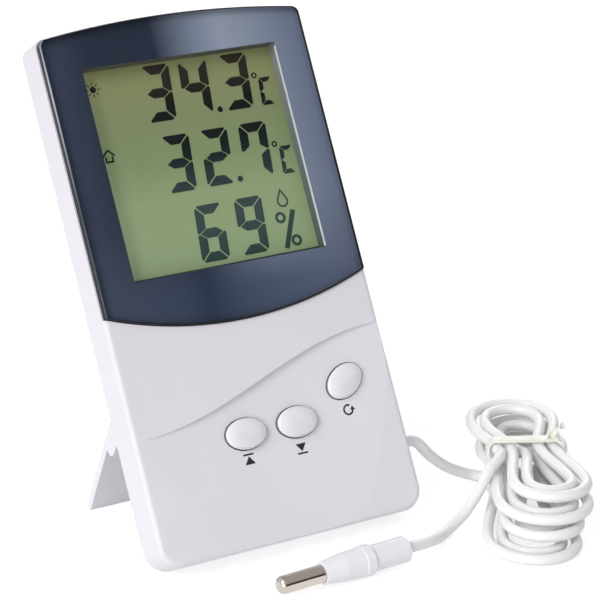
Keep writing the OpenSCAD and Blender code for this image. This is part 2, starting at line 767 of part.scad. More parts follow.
hank_path = [for (i = [0:24 * hank_loops]) hank_point(i / 24)];
hank_in = unit(hank_path[1] - hank_path[0]);
hank_out = unit(hank_path[24 * hank_loops] - hank_path[24 * hank_loops - 1]);

// Least gap between strands, on the rings' centres and the points halfway between them
function halved(p) = [for (i = [0:2 * len(p) - 2]) (p[floor(i / 2)] + p[ceil(i / 2)]) / 2];
function hank_gap(p) = min([for (i = [0:len(p) - 17]) min([for (j = [i + 16:len(p) - 1]) norm(p[i] - p[j])])]) - lead_d;
function path_l(p, i = 1) = i >= len(p) ? 0 : norm(p[i] - p[i - 1]) + path_l(p, i + 1);

// A smooth curve through points, three steps to each stretch
function curve(p) = [for (i = [0:3 * (len(p) - 1)]) let (k = min(floor(i / 3), len(p) - 2), s = i / 3 - k,
    b = p[k], c = p[k + 1], a = k > 0 ? p[k - 1] : 2 * b - c, d = k < len(p) - 2 ? p[k + 2] : 2 * c - b)
    (2 * b + (c - a) * s + (2 * a - 5 * b + 4 * c - d) * s * s + (3 * b - a - 3 * c + d) * s * s * s) / 2];
case_way = curve(concat([lead_exit],
    [for (a = [0:16:48]) lead_exit + [lead_r + droop_r * sin(a), 0, droop_r * (cos(a) - 1)]], way_in,
    [hank_path[0] - 2 * hank_in, hank_path[0] - hank_in, hank_path[0]]));
probe_dir = [cos(probe_turn), sin(probe_turn), 0];
hank_end = hank_path[24 * hank_loops];
probe_way = curve(concat([hank_end, hank_end + lead_r * hank_out, hank_end + lead_d * hank_out], way_out,
    [probe_end + lead_d * probe_dir, probe_end + lead_r * probe_dir, probe_end]));
echo(hank_gap = hank_gap(halved(hank_path)));
echo(lengths = [path_l(case_way), path_l(hank_path), path_l(probe_way)]);

module lead_from_case() color("whitesmoke") tube(case_way, lead_r, 8);
module lead_hank() color("whitesmoke") tube(hank_path, lead_r, 6);
module lead_to_probe() color("whitesmoke") tube(probe_way, lead_r, 8);

// Twist tie round the waist: a flat band with a twisted end
tie_t = 0.6;
tie_w = 2.2;
tie_gap = 0.35;
tie_tail = 5;
tail_w = 1.5;
tail_t = 0.36;
tail_steps = 10;
tail_turn = 30;
tail_in = 3;
module lead_tie() color("ivory") {
    layers = hank_loops / 2 - 1;
    left = -hank_core - 2 * hank_step - lead_r - tie_gap;
    right = hank_core + 1.5 * hank_step + lead_r + tie_gap;
    low = hank_floor + waist_lift - lead_r - tie_gap;
    high = hank_floor + waist_lift + layers * hank_lift + lead_r + tie_gap;
    translate([hank_at[0], hank_at[1], 0]) rotate([0, 0, -changed(hank_turn, layers / 2)]) {
        translate([0, tie_w / 2, 0]) rotate([90, 0, 0]) linear_extrude(tie_w) difference() {
            rounded(left - tie_t, right + tie_t, low - tie_t, high + tie_t, lead_r + tie_gap + tie_t);
            rounded(left, right, low, high, lead_r + tie_gap);
        }
        translate([right - tail_in, 0, high + tie_t / 2]) tail();
    }
}
module tail() {
    way = unit([0.7, 0, 0.6]);
    side = across(way);
    up = cross(side, way);
    corners = [[1, 1], [-1, 1], [-1, -1], [1, -1]];
    skin([for (i = [0:tail_steps])
        let (a = tail_turn * i, u = cos(a) * side + sin(a) * up, v = cos(a) * up - sin(a) * side)
        [for (c = corners) tie_tail * i / tail_steps * way + c[0] * tail_w / 2 * u + c[1] * tail_t / 2 * v]]);
}
module rounded(x0, x1, y0, y1, r) {
    translate([x0 + r, y0]) square([x1 - x0 - 2 * r, y1 - y0]);
    translate([x0, y0 + r]) square([x1 - x0, y1 - y0 - 2 * r]);
    for (x = [x0 + r, x1 - r]) for (y = [y0 + r, y1 - r]) translate([x, y]) circle(r);
}

// Probe, drawn along its axis from the lead's end towards its tip
module on_probe() {
    translate(probe_end) rotate([0, -90, probe_turn]) children();
}
module probe_sleeve() color("white") on_probe() difference() {
    rotate_extrude() polygon([[0, 0], [sleeve_r, 0], [sleeve_r, barrel_l - 0.3], [collar_r, barrel_l],
        [collar_r, barrel_l + collar_l], [collar_r - 0.1, barrel_l + collar_l + 0.2],
        [(collar_r + mouth_r) / 2 + 0.15, barrel_l + collar_l + sleeve_l / 2],
        [mouth_r, barrel_l + collar_l + sleeve_l], [0, barrel_l + collar_l + sleeve_l]]);
    translate([0, 0, barrel_l + collar_l + sleeve_l - tip_depth]) cylinder(r = shank_r + run, h = tip_depth + 1);
    for (turn = [0:60:300]) rotate([0, 0, turn + 15]) translate([sleeve_r - grip_flat, -3, -1])
        cube([3, 6, barrel_l - 0.6]);
}
module probe_tip() color("silver") on_probe() {
    nose = 1.2;
    long = tip_depth + tip_l - run;
    translate([0, 0, barrel_l + collar_l + sleeve_l - tip_depth + run]) rotate_extrude() intersection() {
        square([tip_d / 2, long]);
        union() {
            square([shank_r, long - nose]);
            translate([0, tip_depth + tip_neck]) square([tip_d / 2, long - nose - tip_depth - tip_neck]);
            square([tip_d / 2 - nose, long]);
            translate([tip_d / 2 - nose, long - nose]) circle(nose);
        }
    }
}

front_shell();
rear_shell();
display_lens();
mask_film();
lcd_cell();
lcd_reflector();
lcd_frame();
contact_strip();
circuit_board();
controller_chip();
humidity_sensor();
air_thermistor();
key_max();
key_min();
key_reset();
key_mat();
case_screws();
board_screws();
battery_door();
battery_cell();
battery_spring();
battery_plate();
unit_switch();
stand();
lead_bush();
lead_from_case();
lead_hank();
lead_tie();
lead_to_probe();
probe_sleeve();
probe_tip();
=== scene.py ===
# Looks of a digital thermo-hygrometer on its stand, with a probe on a lead tied in a hank.
# Sizes are in millimetres until mesh_piece() and the camera turn them into metres.
import json
import math

import bpy
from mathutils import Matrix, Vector
from mathutils.bvhtree import BVHTree


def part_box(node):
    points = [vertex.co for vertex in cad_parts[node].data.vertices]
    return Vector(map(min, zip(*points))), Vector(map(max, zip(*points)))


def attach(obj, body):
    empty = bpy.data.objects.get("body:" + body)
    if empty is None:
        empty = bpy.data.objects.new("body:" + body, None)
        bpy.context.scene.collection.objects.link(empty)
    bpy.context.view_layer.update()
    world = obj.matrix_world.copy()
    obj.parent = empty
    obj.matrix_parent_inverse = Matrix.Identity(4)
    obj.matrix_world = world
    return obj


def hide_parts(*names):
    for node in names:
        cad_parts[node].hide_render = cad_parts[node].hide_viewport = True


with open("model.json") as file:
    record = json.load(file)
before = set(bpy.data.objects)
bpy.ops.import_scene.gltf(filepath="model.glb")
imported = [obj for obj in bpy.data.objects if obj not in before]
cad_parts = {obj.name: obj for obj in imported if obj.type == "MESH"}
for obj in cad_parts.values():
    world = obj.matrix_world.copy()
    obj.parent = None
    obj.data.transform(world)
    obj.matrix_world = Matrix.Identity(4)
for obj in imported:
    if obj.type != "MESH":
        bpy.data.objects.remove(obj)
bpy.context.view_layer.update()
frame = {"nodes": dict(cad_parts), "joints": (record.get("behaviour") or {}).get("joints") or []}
nodes = frame["nodes"]
MM = 0.001
SCENE = bpy.context.scene


# Camera: fitted to the photograph's edges, at 600 x 600 pixels
CAMERA_AT = (-212.4, -397.43, 213.26)
CAMERA_LENS, CAMERA_SENSOR = 144, 36
CAMERA_DOWN, CAMERA_TURN = 20.62, -30.07
CAMERA_CLIP = 10


def add_camera():
    data = bpy.data.cameras.new("camera")
    data.lens = CAMERA_LENS
    data.sensor_width = CAMERA_SENSOR
    data.clip_start = CAMERA_CLIP * MM
    camera = bpy.data.objects.new("camera", data)
    camera.location = Vector(CAMERA_AT) * MM
    camera.rotation_euler = (math.radians(90 - CAMERA_DOWN), 0, math.radians(CAMERA_TURN))
    SCENE.collection.objects.link(camera)
    SCENE.camera = camera


add_camera()


# Case frame: x across, y up the face, z out of it. The stand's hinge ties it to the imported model.
LEAN = math.radians(29.2)
HINGE_Y, HINGE_Z = 30.2, -12.7
HINGE = next(j for j in frame["joints"] if j["name"] == "stand_fold")
FACE_OUT = (0, -math.cos(LEAN), math.sin(LEAN))
FACE_UP = (0, math.sin(LEAN), math.cos(LEAN))


def stood(x, y, z):
    """A point of the leaned case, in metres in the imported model's frame."""
    up, out = y - HINGE_Y, z - HINGE_Z
    hinge = Vector(HINGE["pos_m"])
    return Vector((x * MM, hinge.y + (up * math.sin(LEAN) - out * math.cos(LEAN)) * MM,
                   hinge.z + (up * math.cos(LEAN) + out * math.sin(LEAN)) * MM))


# Lead: the same route as the solids, with more points to a turn
LEAD_D = 2.3
LEAD_EXIT = (30.3, -19.83, 13.4945)
HANK_AT = (55, -29.5)
HANK_STEP, HANK_LIFT, HANK_FOLD, HANK_CORE = 2.95, 2.8, 3.6, 0.7
HANK_NEAR, HANK_FAR, HANK_TURN, HANK_BOW = (24, -2.6), (14, -0.3), (34, -4.3), (0.06, -0.015)
HANK_LOOPS = 8
LOOP_STEPS, CURVE_STEPS = 48, 6
HANK_CLIMB = 0.14
HANK_FLOOR = LEAD_D / 2 + 0.1
WAIST_LIFT, WAIST_L = 1, 9
PROBE_END = (16.05, -43.52, 3.12)
PROBE_TURN = math.radians(2.8)
DROOP_R = 4
# Points of the lead between the case and the hank, and between the hank and the probe
WAY_IN = [(35.35, -19.8, 11.1), (37, -19.7, 9.25), (39.3, -19.5, 7.1), (42, -19.2, 5.05), (45, -18.9, 3.25),
          (48, -19.2, 1.9), (50.2, -21.3, 1.6)]
WAY_OUT = [(46, -31.6, 10.6), (42.6, -33.2, 9.3), (39, -34.7, 6), (35, -36, 3), (30.8, -37.4, 1.5),
           (26.6, -39.8, 1.5), (22.6, -42.4, 2.6)]


def ease(x):
    """From 0 to 1 with soft ends, as x goes from 0 to 1."""
    t = min(max(x, 0), 1)
    return t * t * (3 - 2 * t)


def changed(size, layer):
    """A size given as (first layer's, change for each layer)."""
    return size[0] + size[1] * layer


def hank_flat(t, near, far):
    """The path of turn t seen from above, about the waist.

    A turn has 24 parts: 3 straight, 6 round the near end, 6 straight, 6 round the far end, 3 straight.
    """
    k = 24 * (t % 1)
    r = HANK_FOLD + HANK_STEP * abs(2 - t % 4)
    a = math.radians(30 * (k % 12 - 3))
    if 3 <= k < 9:
        return -near - r * math.sin(a), -r * math.cos(a)
    if 15 <= k < 21:
        return far + r * math.sin(a), r * math.cos(a)
    reach = near if k < 12 else far
    x = reach * min(k % 12, 12 - k % 12) / 3
    side = 1 if 9 <= k < 15 else -1
    pull = (HANK_FOLD - HANK_CORE) * (1 + math.cos(math.pi * x / reach)) / 2
    return (-x if k < 12 else x), side * (r - pull)


def hank_point(t):
    """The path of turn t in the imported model's millimetres."""
    layer = sum(ease((t - k) / HANK_CLIMB + 0.5) for k in range(2, HANK_LOOPS, 2))
    u, v = hank_flat(t, changed(HANK_NEAR, layer), changed(HANK_FAR, layer))
    v += changed(HANK_BOW, layer) * (math.hypot(u, WAIST_L) - WAIST_L)
    a = math.radians(changed(HANK_TURN, layer))
    rise = layer * (0.2 if u < 0 else 0.5) * ease(abs(u) / 20)
    return Vector((HANK_AT[0] + u * math.sin(a) + v * math.cos(a), HANK_AT[1] + u * math.cos(a) - v * math.sin(a),
                   HANK_FLOOR + layer * HANK_LIFT + WAIST_LIFT * math.exp(-(u / WAIST_L) ** 2) + rise))


def curve_through(points):
    """A smooth curve through points, with the same straight ends as the solids."""
    p = [2 * points[0] - points[1], *points, 2 * points[-1] - points[-2]]
    out = []
    for a, b, c, d in zip(p, p[1:], p[2:], p[3:]):
        for i in range(CURVE_STEPS):
            s = i / CURVE_STEPS
            out.append((2 * b + (c - a) * s + (2 * a - 5 * b + 4 * c - d) * s * s
                        + (3 * b - a - 3 * c + d) * s ** 3) / 2)
    return out + [points[-1]]


def lead_route():
    """From the case, down and round the hank, to the probe's sleeve."""
    hank = [hank_point(i / LOOP_STEPS) for i in range(LOOP_STEPS * HANK_LOOPS)]
    hank.append(hank_point(HANK_LOOPS - 1e-9))
    into = (hank_point(1 / 24) - hank[0]).normalized()
    out = (hank[-1] - hank_point(HANK_LOOPS - 1 / 24)).normalized()
    start, end = Vector(LEAD_EXIT), Vector(PROBE_END)
    lead_r = LEAD_D / 2
    probe_dir = Vector((math.cos(PROBE_TURN), math.sin(PROBE_TURN), 0))
    droop = [start + Vector((lead_r + DROOP_R * math.sin(a), 0, DROOP_R * (math.cos(a) - 1)))
             for a in map(math.radians, range(0, 49, 16))]
    way_in = [start, *droop, *map(Vector, WAY_IN), hank[0] - 2 * into, hank[0] - into, hank[0]]
    way_out = [hank[-1], hank[-1] + lead_r * out, hank[-1] + LEAD_D * out, *map(Vector, WAY_OUT),
               end + LEAD_D * probe_dir, end + lead_r * probe_dir, end]
    return curve_through(way_in)[:-1] + hank + curve_through(way_out)[1:]


def add_lead():
    """The whole lead as one cord."""
    data = bpy.data.curves.new("lead", "CURVE")
    data.dimensions = "3D"
    data.bevel_depth = LEAD_D / 2
    data.bevel_resolution = 5
    data.use_fill_caps = True
    route = lead_route()
    spline = data.splines.new("POLY")
    spline.points.add(len(route) - 1)
    for point, at in zip(spline.points, route):
        point.co = (*(at * MM), 1)
        point.radius = MM
    spline.use_smooth = True
    lead = bpy.data.objects.new("lead", data)
    SCENE.collection.objects.link(lead)
    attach(lead, "case")
    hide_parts("lead_from_case", "lead_hank", "lead_to_probe")
    return lead


lead = add_lead()


# Materials
def colour(r, g, b):
    """A written 0-255 colour as the shader's linear one."""
    def linear(c):
        c /= 255
        return c / 12.92 if c <= 0.04045 else ((c + 0.055) / 1.055) ** 2.4
    return (linear(r), linear(g), linear(b), 1)


NOISE_LOW, NOISE_HIGH = 0.3, 0.7


class Material:
    """A node material with its Principled shader, and short calls for its patterns."""

    def __init__(self, name, base, roughness, metallic=0.0):
        self.data = bpy.data.materials.new(name)
        self.data.use_nodes = True
        self.tree = self.data.node_tree
        self.shader = self.tree.nodes["Principled BSDF"]
        self.output = self.tree.nodes["Material Output"]
        self.base = base
        self.shader.inputs["Base Color"].default_value = base
        self.shader.inputs["Roughness"].default_value = roughness
        self.shader.inputs["Metallic"].default_value = metallic
        self.place = self.node("ShaderNodeTexCoord").outputs["Object"]

    def node(self, kind, **values):
        made = self.tree.nodes.new(kind)
        for name, value in values.items():
            setattr(made, name, value)
        return made

    def link(self, a, b):
        self.tree.links.new(a, b)

    def colour_by(self, value):
        self.link(value, self.shader.inputs["Base Color"])

    def colour_so_far(self):
        return self.shader.inputs["Base Color"].links[0].from_socket

    def noise(self, scale, detail, stretch=(1, 1, 1)):
        mapping = self.node("ShaderNodeMapping")
        mapping.inputs["Scale"].default_value = stretch
        texture = self.node("ShaderNodeTexNoise")
        texture.inputs["Scale"].default_value = scale
        texture.inputs["Detail"].default_value = detail
        self.link(self.place, mapping.inputs["Vector"])
        self.link(mapping.outputs["Vector"], texture.inputs["Vector"])
        return texture.outputs["Fac"]

    def ramp(self, value, *stops):
        made = self.node("ShaderNodeValToRGB")
        while len(made.color_ramp.elements) < len(stops):
            made.color_ramp.elements.new(0.5)
        for element, (at, shade) in zip(made.color_ramp.elements, stops):
            element.position = at
            element.color = shade
        self.link(value, made.inputs["Fac"])
        return made.outputs["Color"]

    def span(self, value, low, high):
        """A noise value spread from low to high."""
        made = self.node("ShaderNodeMapRange")
        made.inputs["From Min"].default_value = NOISE_LOW
        made.inputs["From Max"].default_value = NOISE_HIGH
        made.inputs["To Min"].default_value = low
        made.inputs["To Max"].default_value = high
        self.link(value, made.inputs["Value"])
        return made.outputs["Result"]

    def mottle(self, scale, amount, detail=3):
        """Colour that wanders a little lighter and darker."""
        value = self.noise(scale, detail)
        low = [c * (1 - amount) for c in self.base[:3]] + [1]
        high = [min(c * (1 + amount), 1) for c in self.base[:3]] + [1]
        self.colour_by(self.ramp(value, (NOISE_LOW, low), (NOISE_HIGH, high)))
        return self

    def measured(self, start, way):
        """How far a point lies from start, along way and in its length's units."""
        mapping = self.node("ShaderNodeMapping", vector_type="POINT")
        mapping.inputs["Location"].default_value = -Vector(start)
        self.link(self.place, mapping.inputs["Vector"])
        made = self.node("ShaderNodeVectorMath", operation="DOT_PRODUCT")
        made.inputs[1].default_value = way
        self.link(mapping.outputs["Vector"], made.inputs[0])
        return made.outputs["Value"]

    def along(self, node, way):
        """From 0 to 1 across a node's box, along way."""
        low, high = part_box(node)
        return self.measured(low, Vector(way) / sum(abs(a) * (b - c) for a, b, c in zip(way, high, low)))

    def blend(self, kind, a, b, amount=None):
        """Two colours joined, in full or by amount."""
        made = self.node("ShaderNodeMixRGB", blend_type=kind)
        made.inputs["Fac"].default_value = 1
        if amount:
            self.link(amount, made.inputs["Fac"])
        self.link(a, made.inputs["Color1"])
        self.link(b, made.inputs["Color2"])
        return made.outputs["Color"]

    def slope(self, node, way, *stops):
        """Colour that changes across a node's box, along way."""
        self.colour_by(self.ramp(self.along(node, way), *stops))

    def shade(self, kind, value, *stops):
        """The colour so far, multiplied or divided by greys along value."""
        greys = self.ramp(value, *((at, (grey, grey, grey, 1)) for at, grey in stops))
        self.colour_by(self.blend(kind, self.colour_so_far(), greys))
        return self

    def out_of_face(self, size):
        """From 0 at the case's face to 1 at size millimetres out of it."""
        return self.measured(stood(0, 0, 0), Vector(FACE_OUT) / (size * MM))

    def facing(self, way):
        """How far the surface faces way, from -1 to 1."""
        made = self.node("ShaderNodeVectorMath", operation="DOT_PRODUCT")
        made.inputs[1].default_value = way
        self.link(self.node("ShaderNodeTexCoord").outputs["Normal"], made.inputs[0])
        return made.outputs["Value"]

    def uneven_gloss(self, scale, low, high, stretch=(1, 1, 1)):
        """Roughness that wanders from low to high."""
        self.link(self.span(self.noise(scale, 4, stretch), low, high), self.shader.inputs["Roughness"])
        return self

    def grain(self, scale, strength, depth, detail=2, stretch=(1, 1, 1)):
        """Fine bumps, depth millimetres high."""
        bump = self.node("ShaderNodeBump")
        bump.inputs["Strength"].default_value = strength
        bump.inputs["Distance"].default_value = depth * MM
        self.link(self.noise(scale, detail, stretch), bump.inputs["Height"])
        for socket in ("Normal", "Coat Normal"):
            self.link(bump.outputs["Normal"], self.shader.inputs[socket])
        return self

    def setting(self, **values):
        for name, value in values.items():
            self.shader.inputs[name.replace("_", " ")].default_value = value
        return self


def case_plastic():
    """Satin plastic, with painted shade that darkens it towards the top."""
    made = Material("case_plastic", colour(232, 228, 235), 0.42).mottle(90, 0.012)
    # Painted shade: the colour is multiplied down to 0.86 towards the top of the front shell's box.
    return (made.shade("MULTIPLY", made.along("front_shell", (0, 0, 1)), (0, 1), (1, 0.86))
            .uneven_gloss(160, 0.38, 0.5).grain(2600, 0.25, 0.03))


def key_plastic():
    """Smooth glossy caps, with painted shade on their sides down in the gap."""
    made = Material("key_plastic", colour(233, 231, 236), 0.27).mottle(200, 0.006)
    # Painted shade: faces that turn away from the case's face are darkened to 0.3.
    return made.shade("MULTIPLY", made.facing(FACE_OUT), (0, 0.3), (0.35, 0.3), (0.42, 1))


def glossy_plastic(name, shade, roughness):
    return (Material(name, shade, roughness).mottle(200, 0.01)
            .uneven_gloss(300, roughness * 0.8, roughness * 1.25).grain(1500, 0.1, 0.02))


LENS_PROUD = 0.6
FRONT_FACING = 0.97
LENS_IOR = 1.2


def lens_clear():
    """Clear acrylic that faintly mirrors the studio, with a dark rim and a painted highlight on its left bevel."""
    made = Material("lens_clear", colour(16, 18, 26), 0.3).setting(Specular_IOR_Level=0.2)
    # Painted highlight: greys that grow paler up the lens, kept only where the rim faces left near the lens's front,
    # and darkened elsewhere.
    made.slope("display_lens", (0, 0, 1), (0.2, colour(80, 88, 98)), (0.45, colour(78, 86, 96)),
               (0.64, colour(140, 146, 156)), (0.8, colour(178, 182, 190)), (0.93, colour(150, 156, 166)))
    made.shade("MULTIPLY", made.facing((-1, 0, 0)), (0.1, 0.03), (0.35, 1))
    made.shade("MULTIPLY", made.out_of_face(LENS_PROUD), (0.62, 0.06), (0.78, 1))
    see = made.node("ShaderNodeBsdfTransparent")
    see.inputs["Color"].default_value = colour(250, 251, 252)
    fresnel = made.node("ShaderNodeFresnel")
    fresnel.inputs["IOR"].default_value = LENS_IOR
    front = made.node("ShaderNodeMath", operation="SUBTRACT")
    front.inputs[0].default_value = 1
    made.link(made.node("ShaderNodeNewGeometry").outputs["Backfacing"], front.inputs[1])
    amount = made.node("ShaderNodeMath", operation="MULTIPLY")
    made.link(fresnel.outputs["Fac"], amount.inputs[0])
    made.link(front.outputs["Value"], amount.inputs[1])
    gloss = made.node("ShaderNodeBsdfAnisotropic")
    made.link(made.span(made.noise(60, 2), 0.02, 0.06), gloss.inputs["Roughness"])
    mix = made.node("ShaderNodeMixShader")
    made.link(amount.outputs["Value"], mix.inputs["Fac"])
    made.link(see.outputs["BSDF"], mix.inputs[1])
    made.link(gloss.outputs["BSDF"], mix.inputs[2])
    flat = made.node("ShaderNodeMath", operation="ABSOLUTE")
    made.link(made.facing(FACE_OUT), flat.inputs[0])
    front_face = made.node("ShaderNodeMath", operation="GREATER_THAN")
    front_face.inputs[1].default_value = FRONT_FACING
    made.link(flat.outputs["Value"], front_face.inputs[0])
    rim = made.node("ShaderNodeMixShader")
    made.link(front_face.outputs["Value"], rim.inputs["Fac"])
    made.link(made.shader.outputs["BSDF"], rim.inputs[1])
    made.link(mix.outputs["Shader"], rim.inputs[2])
    made.link(rim.outputs["Shader"], made.output.inputs["Surface"])
    return made


def mask_print_and_reflection():
    """Dark blue-grey print, with a painted reflection that makes it paler towards its right side and most of all along
    its upper edge.
    """
    made = Material("mask_print_and_reflection", colour(50, 57, 76), 0.5).setting(Specular_IOR_Level=0.15)
    # Painted reflection: paler bands across the film, strongest along its upper edge, stand in for the studio mirrored
    # in the lens.
    across = made.along("mask_film", (1, 0, 0))
    upper = made.ramp(across, (0.05, colour(57, 65, 85)), (0.18, colour(37, 46, 64)), (0.42, colour(37, 46, 64)),
                      (0.57, colour(127, 136, 154)), (0.68, colour(156, 163, 179)), (0.8, colour(143, 151, 167)),
                      (0.95, colour(120, 129, 149)))
    lower = made.ramp(across, (0.05, colour(68, 78, 97)), (0.3, colour(60, 70, 91)), (0.4, colour(43, 56, 78)),
                      (0.55, colour(70, 81, 103)), (0.75, colour(83, 94, 118)), (0.95, colour(97, 104, 125)))
    height = made.ramp(made.along("mask_film", FACE_UP), (0.1, (0, 0, 0, 1)), (0.38, (1, 1, 1, 1)))
    made.colour_by(made.blend("MIX", lower, upper, height))
    return made


def display_green():
    """Grey-green polarizer, more olive towards its upper edge, with painted light that lifts its left edge out of the
    window's shadow.
    """
    made = Material("display_green", colour(140, 156, 112), 0.5)
    made.slope("lcd_cell", (0, 0, 1), (0.1, colour(159, 178, 130)), (0.4, colour(157, 173, 124)),
               (0.56, colour(140, 156, 106)), (0.72, colour(137, 149, 101)), (0.95, colour(147, 151, 97)))
    # Painted light: near its left edge the colour is divided by greys, lifting it out of the shadow of the window's
    # side.
    return made.shade("DIVIDE", made.along("lcd_cell", (1, 0, 0)), (0.024, 0.46), (0.05, 0.53), (0.075, 0.64),
                      (0.105, 0.78), (0.14, 0.89), (0.2, 1))


def display_ink():
    """Dark segments, paler and warmer at the upper edge, and paler and greener in the lower half."""
    made = Material("display_ink", colour(20, 18, 18), 0.6).setting(Specular_IOR_Level=0.1)
    made.slope("lcd_cell", (0, 0, 1), (0.12, colour(52, 75, 66)), (0.32, colour(65, 82, 79)),
               (0.46, colour(50, 64, 62)), (0.6, colour(16, 28, 28)), (0.8, colour(18, 22, 16)),
               (0.94, colour(52, 46, 38)))
    return made


def metal(name, shade, roughness):
    return (Material(name, shade, roughness, 1.0).mottle(120, 0.03)
            .uneven_gloss(260, roughness * 0.7, roughness * 1.4, (1, 4, 4)).grain(900, 0.08, 0.01, 3, (1, 6, 6)))


def rubber():
    return Material("contact_rubber", colour(158, 158, 158), 0.7).mottle(400, 0.04).grain(1800, 0.3, 0.03)


def board_green():
    return Material("board_green", colour(18, 64, 40), 0.35).mottle(150, 0.15, 5).grain(900, 0.2, 0.02)


def plain(name, shade, roughness):
    return Material(name, shade, roughness).mottle(300, 0.05).grain(1200, 0.2, 0.02)


def give(material, *names):
    """The pieces' one material."""
    for name in names:
        slots = nodes[name].data.materials
        slots.clear()
        slots.append(material.data)


give(case_plastic(), "front_shell", "rear_shell", "battery_door", "stand")
give(lens_clear(), "display_lens")
give(mask_print_and_reflection(), "mask_film")
give(display_green(), "lcd_cell")
give(glossy_plastic("reflector", colour(200, 200, 196), 0.3), "lcd_reflector")
give(glossy_plastic("frame_plastic", colour(235, 235, 235), 0.4), "lcd_frame")
give(rubber(), "contact_strip", "key_mat")
give(board_green(), "circuit_board")
give(plain("chip_resin", colour(22, 22, 22), 0.3), "controller_chip")
give(plain("sensor_case", colour(200, 120, 50), 0.5), "humidity_sensor", "air_thermistor")
give(key_plastic(), "key_max", "key_min", "key_reset")
give(glossy_plastic("bush_plastic", colour(236, 235, 241), 0.26), "lead_bush")
give(glossy_plastic("sleeve_plastic", colour(243, 242, 247), 0.3), "probe_sleeve")
give(metal("steel", colour(190, 190, 188), 0.28), "case_screws", "board_screws", "battery_spring", "battery_plate")
give(plain("battery_sleeve", colour(60, 92, 140), 0.35), "battery_cell")
give(plain("switch_plastic", colour(70, 70, 72), 0.5), "unit_switch")
give(glossy_plastic("tie_plastic", colour(240, 239, 230), 0.4), "lead_tie")
give(metal("probe_nickel", colour(206, 197, 187), 0.14), "probe_tip")
lead.data.materials.append(glossy_plastic("lead_plastic", colour(243, 243, 242), 0.34).data)

# Long flat triangles take the direction of their own face, not of the round edges beside them
for name in ("front_shell", "rear_shell", "display_lens", "mask_film", "stand"):
    even = nodes[name].modifiers.new("flat_faces", "WEIGHTED_NORMAL")
    even.keep_sharp = True


# The film sits a hair behind the lens, so that light meets the lens first everywhere
LENS_GAP = 0.02
behind = nodes["mask_film"].modifiers.new("behind_lens", "DISPLACE")
behind.mid_level = 0
behind.strength = -LENS_GAP * MM


# Flat marks: outlines in the case frame, laid on a surface
def mesh_piece(name, points, faces, body, material):
    mesh = bpy.data.meshes.new(name)
    mesh.from_pydata([tuple(p) for p in points], [], faces)
    mesh.materials.append(material.data)
    mesh.update()
    piece = bpy.data.objects.new(name, mesh)
    SCENE.collection.objects.link(piece)
    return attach(piece, body)


def mark(name, outlines, height, material):
    """A piece of flat outlines, each at height(x, y) out of the case's face."""
    points, faces = [], []
    for outline in outlines:
        faces.append(range(len(points), len(points) + len(outline)))
        points += [stood(x, y, height(x, y)) for x, y in outline]
    return mesh_piece(name, points, faces, "case", material)


RING_STEPS, DISC_STEPS = 24, 20


def ring_outlines(x, y, outer, inner, start=0.0, turn=360.0):
    """A ring, or the part of one from start over turn degrees."""
    def on(r, i):
        a = math.radians(start + turn * i / RING_STEPS)
        return x + r * math.cos(a), y + r * math.sin(a)
    return [[on(inner, i), on(outer, i), on(outer, i + 1), on(inner, i + 1)] for i in range(RING_STEPS)]


def disc_outlines(x, y, r):
    return [[(x + r * math.cos(math.tau * i / DISC_STEPS), y + r * math.sin(math.tau * i / DISC_STEPS))
             for i in range(DISC_STEPS)]]


def bar_outlines(a, b, width):
    """A straight stroke from a to b."""
    d = Vector((b[0] - a[0], b[1] - a[1])).normalized() * width / 2
    return [[(a[0] - d.y, a[1] + d.x), (a[0] + d.y, a[1] - d.x), (b[0] + d.y, b[1] - d.x), (b[0] - d.y, b[1] + d.x)]]


# Seven segments: a top, b and c right, d bottom, e and f left, g middle
SEGMENTS = {"2": "abged", "3": "abgcd", "4": "fgbc", "6": "afgedc", "7": "fabc", "9": "abcdfg", "C": "afed"}
DIGIT_SLANT = math.tan(math.radians(5))
CORNER_CUT, WAIST_CUT, REACH = 0.42, 0.14, 0.26


def segment_outlines(shown, x, y, width, height, stroke, gap):
    """Strokes with cut outer corners, and thin slanted gaps between them. The cuts are shares of the stroke."""
    w, h, s = width / 2, height / 2, stroke
    q, cut, waist, reach = gap * 0.35, stroke * CORNER_CUT, stroke * WAIST_CUT, stroke * REACH
    top = [(-w + cut, h), (w - cut, h), (w - cut / 2 - q, h - cut / 2 + q), (w - s - 2 * q, h - s),
           (-w + s + 2 * q, h - s), (-w + cut / 2 + q, h - cut / 2 + q)]
    upper_right = [(w, h - cut), (w, waist), (w - waist, q), (w - reach, q), (w - s, s / 2 + q), (w - s, h - s - 2 * q),
                   (w - cut / 2 + q, h - cut / 2 - q)]
    half = [(-w + reach + 2 * q, 0), (-w + s + q, s / 2), (w - s - q, s / 2), (w - reach - 2 * q, 0),
            (w - s - q, -s / 2), (-w + s + q, -s / 2)]
    shapes = {
        "a": top, "d": [(px, -py) for px, py in top], "g": half,
        "b": upper_right, "c": [(px, -py) for px, py in upper_right],
        "f": [(-px, py) for px, py in upper_right], "e": [(-px, -py) for px, py in upper_right],
    }
    return [[(x + px + DIGIT_SLANT * py, y + py) for px, py in shapes[k]] for k in SEGMENTS[shown]]


DIGIT_W, DIGIT_H, DIGIT_STROKE = 6.3, 11.6, 1.95
DIGIT_GAP = 0.25
UNIT_W, UNIT_H, UNIT_STROKE, UNIT_GAP = 3, 5.8, 0.95, 0.1
POINT_R, POINT_DOWN = 0.62, 5.2
DEGREE_RING = (0.65, 0.3)
DEGREE_UP, UNIT_DOWN = 0.65, 2.9
PER_CENT_RING = (1.2, 0.6)
CELL_FRONT = -3.9
INK_LIFT = 0.02


